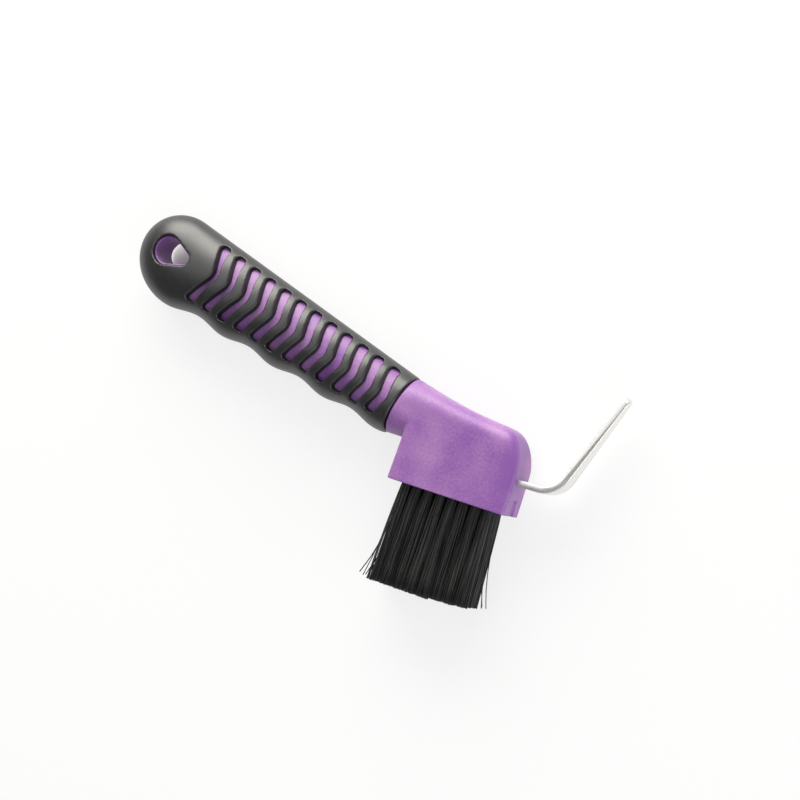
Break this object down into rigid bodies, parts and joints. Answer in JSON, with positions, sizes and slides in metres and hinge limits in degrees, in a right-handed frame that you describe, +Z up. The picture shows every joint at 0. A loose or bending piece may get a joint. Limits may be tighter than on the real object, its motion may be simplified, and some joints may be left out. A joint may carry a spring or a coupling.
{
  "type": "hoof pick",
  "caption": "Hoof pick with a steel hook, a stiff bristle brush and a soft slotted finger grip that ends in a hang hole.",
  "frame": {"origin": "middle of the flat side of the brush head that the pick lies on", "axes": "+X forward along the brush head towards the hook, -Y the way the bristles point, +Z up across the thickness of the pick"},
  "size_m": [0.1919, 0.1032, 0.021],
  "materials": {
    "hard_plastic": "satin, faintly mottled purple",
    "soft_grip": "satin black soft-touch rubber",
    "hook_steel": "satin stainless steel",
    "bristle": "dark synthetic bristle",
    "anchor_wire": "plain drawn wire"
  },
  "bodies": {
    "root": {"head_core": "hard_plastic", "grip_sleeve": "soft_grip", "hook": "hook_steel", "tuft_anchors": "anchor_wire", "tuft_1_1": "bristle", "tuft_1_2": "bristle", "tuft_1_3": "bristle", "tuft_1_4": "bristle", "tuft_2_1": "bristle", "tuft_2_2": "bristle", "tuft_2_3": "bristle", "tuft_2_4": "bristle", "tuft_3_1": "bristle", "tuft_3_2": "bristle", "tuft_3_3": "bristle", "tuft_3_4": "bristle", "tuft_4_1": "bristle", "tuft_4_2": "bristle", "tuft_4_3": "bristle", "tuft_4_4": "bristle", "tuft_5_1": "bristle", "tuft_5_2": "bristle", "tuft_5_3": "bristle", "tuft_5_4": "bristle", "tuft_6_1": "bristle", "tuft_6_2": "bristle", "tuft_6_3": "bristle", "tuft_6_4": "bristle", "tuft_7_1": "bristle", "tuft_7_2": "bristle", "tuft_7_3": "bristle", "tuft_7_4": "bristle", "tuft_8_1": "bristle", "tuft_8_2": "bristle", "tuft_8_3": "bristle", "tuft_8_4": "bristle"}
  },
  "joints": []
}
